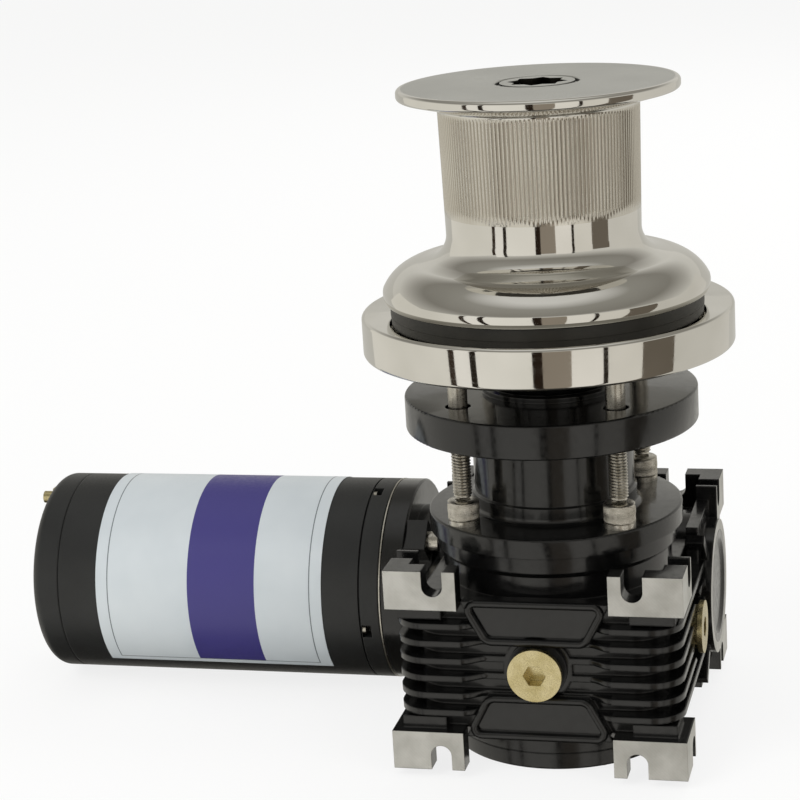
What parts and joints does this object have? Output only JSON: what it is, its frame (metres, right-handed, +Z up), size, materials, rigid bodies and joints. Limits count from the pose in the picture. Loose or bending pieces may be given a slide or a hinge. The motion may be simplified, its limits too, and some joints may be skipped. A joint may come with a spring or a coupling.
{
  "type": "deck capstan",
  "caption": "Upright rope capstan with a waisted ribbed drum over a round deck plate, driven below deck by a finned worm gearbox and a sideways electric motor.",
  "frame": {"origin": "on the drum's axis, at the underside of the deck plate", "axes": "+Z up along the drum's axis, +Y towards the rear where the worm lies, +X to the right, away from the motor"},
  "size_m": [0.33, 0.17, 0.274],
  "materials": {
    "polished_bronze": "polished, with fine upright ribs on the barrel",
    "bronze": "machined",
    "polished_plate": "mirror polished",
    "steel": "machined",
    "stainless": "turned",
    "cast_iron": "cast and machined",
    "gloss_black": "gloss enamel",
    "gearbox_black": "gloss enamel",
    "motor_black": "satin powder coat",
    "label_film": "satin film",
    "black_plastic": "moulded",
    "seal_rubber": "moulded",
    "plug_brass": "turned",
    "magnet": "sintered ferrite",
    "carbon": "pressed carbon",
    "copper": "copper"
  },
  "bodies": {
    "base": {"deck_plate": "polished_plate", "deck_bush": "bronze", "skirt_ring": "gloss_black", "deck_studs": "stainless", "riser_housing": "gloss_black", "riser_seal": "seal_rubber", "riser_bearing_outer_rings": "steel", "riser_bearing_balls": "steel", "riser_screws": "stainless", "riser_spring_washers": "stainless", "gearbox_housing": "gearbox_black", "gearbox_cover": "gearbox_black", "cover_screws": "stainless", "shaft_cover": "black_plastic", "wheel_seals": "seal_rubber", "wheel_bearing_outer_rings": "steel", "wheel_bearing_balls": "steel", "worm_seal": "seal_rubber", "worm_end_cap": "gearbox_black", "worm_bearing_outer_rings": "steel", "worm_bearing_balls": "steel", "oil_plugs": "plug_brass", "plug_washers": "black_plastic", "motor_adapter": "gearbox_black", "adapter_screws": "stainless", "flange_screws": "steel", "motor_front_bell": "motor_black", "bell_screws": "steel", "motor_yoke": "motor_black", "motor_rear_cap": "motor_black", "motor_magnets": "magnet", "motor_label": "label_film", "brush_holder": "black_plastic", "brushes": "carbon", "terminal_studs": "plug_brass", "terminal_sleeves": "black_plastic", "terminal_nuts": "plug_brass", "motor_bearing_outer_rings": "steel", "motor_bearing_balls": "steel"},
    "drum": {"drum": "polished_bronze", "drum_key": "steel", "main_shaft": "steel", "wheel_hub": "cast_iron", "wheel_key": "steel", "worm_wheel": "bronze", "riser_bearing_inner_rings": "steel", "wheel_bearing_inner_rings": "steel"},
    "worm": {"worm_shaft": "steel", "armature_shaft": "steel", "armature_key": "steel", "armature_core": "steel", "armature_windings": "copper", "commutator": "copper", "worm_bearing_inner_rings": "steel", "motor_bearing_inner_rings": "steel"},
    "cap": {"drum_cap": "polished_bronze"}
  },
  "joints": [
    {"name": "shaft_spin", "type": "hinge", "parent": "base", "child": "drum", "pos_m": [0, 0, 0], "axis": [0, 0, 1], "continuous": true},
    {"name": "worm_spin", "type": "hinge", "parent": "base", "child": "worm", "pos_m": [0, 0.05, -0.121], "axis": [1, 0, 0], "continuous": true},
    {"name": "cap_turn", "type": "hinge", "parent": "drum", "child": "cap", "pos_m": [0, 0, 0.107], "axis": [0, 0, 1], "range_deg": [0, 90]}
  ],
  "couplings": [
    {"joint": "worm_spin", "follows": "shaft_spin", "ratio": 30}
  ]
}
